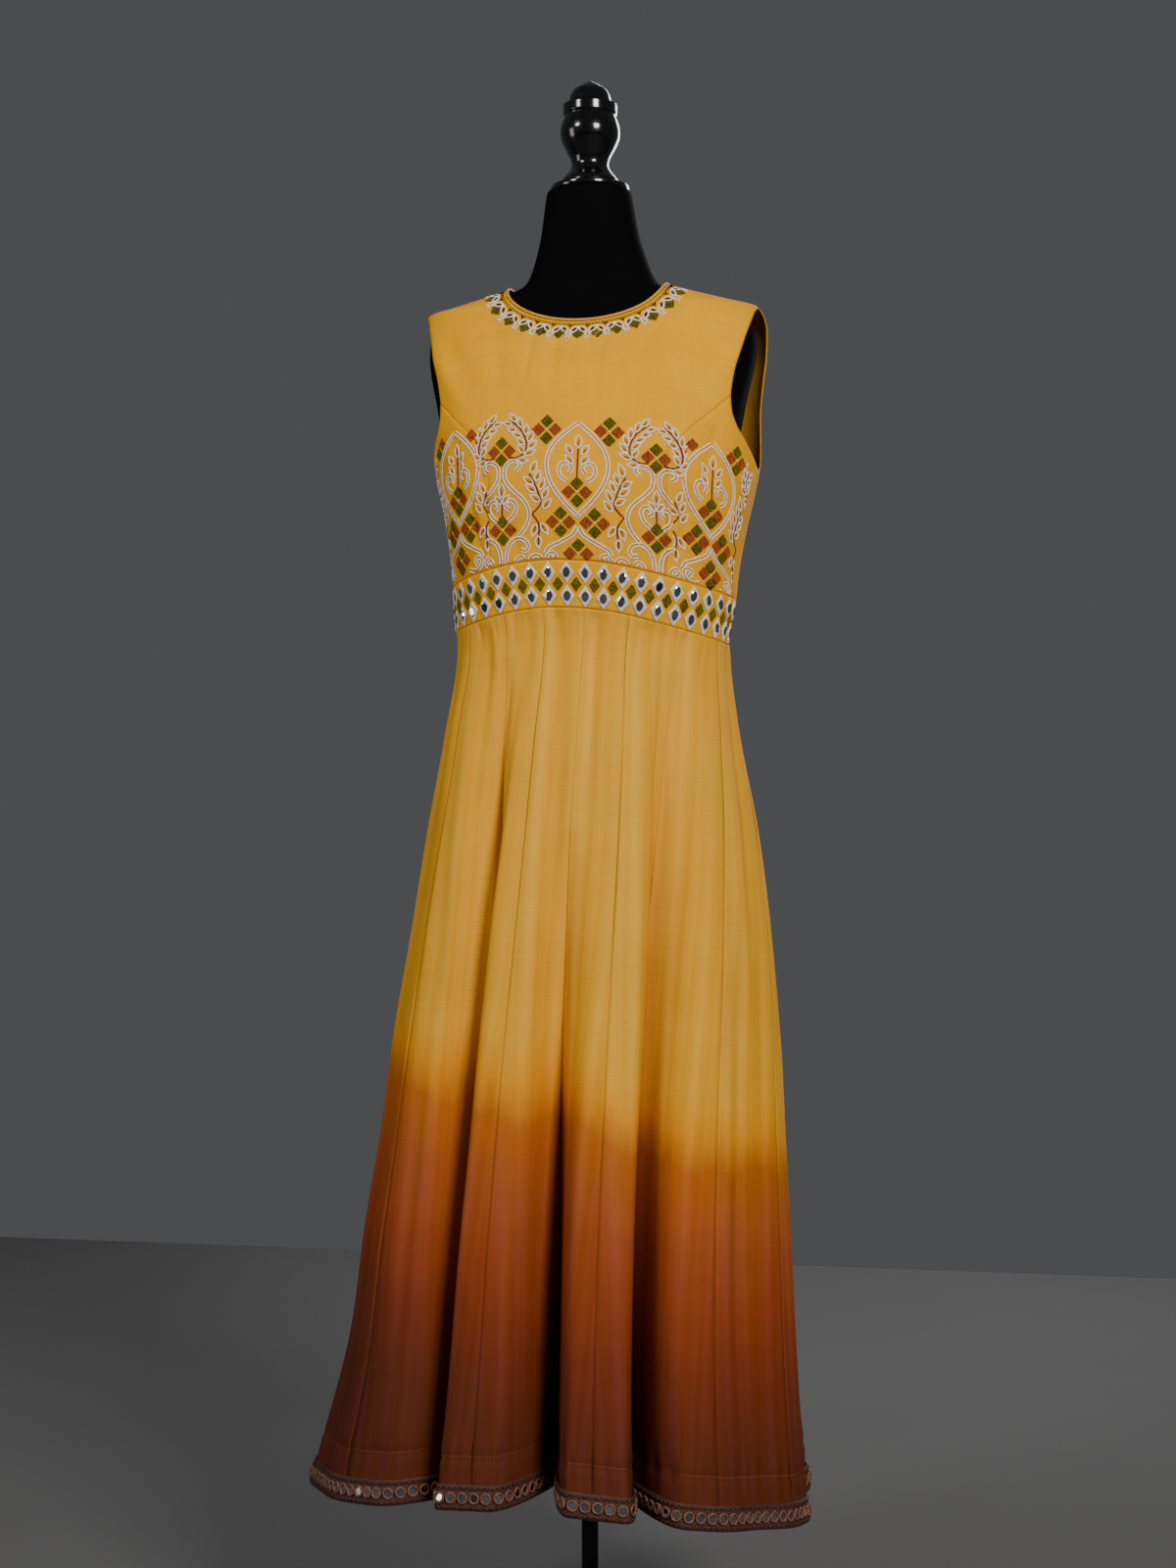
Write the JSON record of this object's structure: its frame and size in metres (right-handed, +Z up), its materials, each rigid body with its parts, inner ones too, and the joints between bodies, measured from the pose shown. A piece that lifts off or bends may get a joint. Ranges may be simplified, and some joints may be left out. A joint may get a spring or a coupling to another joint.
{
  "type": "sleeveless panelled kurti on a limbless dress form",
  "caption": "Sleeveless long kurti with a mirrored waistband, a flared skirt of narrow kalis and a taped hem, worn by a black limbless dress form on a round stand.",
  "frame": {"origin": "on the floor, on the axis of the pole, at the middle of the underside of the round base", "axes": "+Z up along the pole, the garment's front faces -Y, +X is the wearer's left"},
  "size_m": [0.539, 0.4446, 1.7116],
  "materials": {
    "bodice_cloth": "mustard yellow slub cloth, matt, with fine crosswise threads",
    "skirt_cloth": "mustard yellow slub cloth, dipped orange brown to dark brown toward the hem",
    "hem_tape": "dark brown braided tape with small round mirrors",
    "form_velvet": "black velvet, soft nap",
    "turned_wood": "black gloss lacquer",
    "stand_metal": "black satin paint"
  },
  "bodies": {
    "root": {"form_torso": "form_velvet", "form_neck_disc": "turned_wood", "form_finial": "turned_wood", "stand_pole": "stand_metal", "stand_base": "stand_metal", "bodice_front_center": "bodice_cloth", "bodice_front_left": "bodice_cloth", "bodice_front_right": "bodice_cloth", "bodice_back": "bodice_cloth", "waistband_front": "bodice_cloth", "neck_piping": "bodice_cloth", "kali_01": "skirt_cloth", "kali_02": "skirt_cloth", "kali_03": "skirt_cloth", "kali_04": "skirt_cloth", "kali_05": "skirt_cloth", "kali_06": "skirt_cloth", "kali_07": "skirt_cloth", "kali_08": "skirt_cloth", "kali_09": "skirt_cloth", "kali_10": "skirt_cloth", "kali_11": "skirt_cloth", "kali_12": "skirt_cloth", "kali_13": "skirt_cloth", "kali_14": "skirt_cloth", "kali_15": "skirt_cloth", "kali_16": "skirt_cloth", "hem_trim": "hem_tape"}
  },
  "joints": []
}
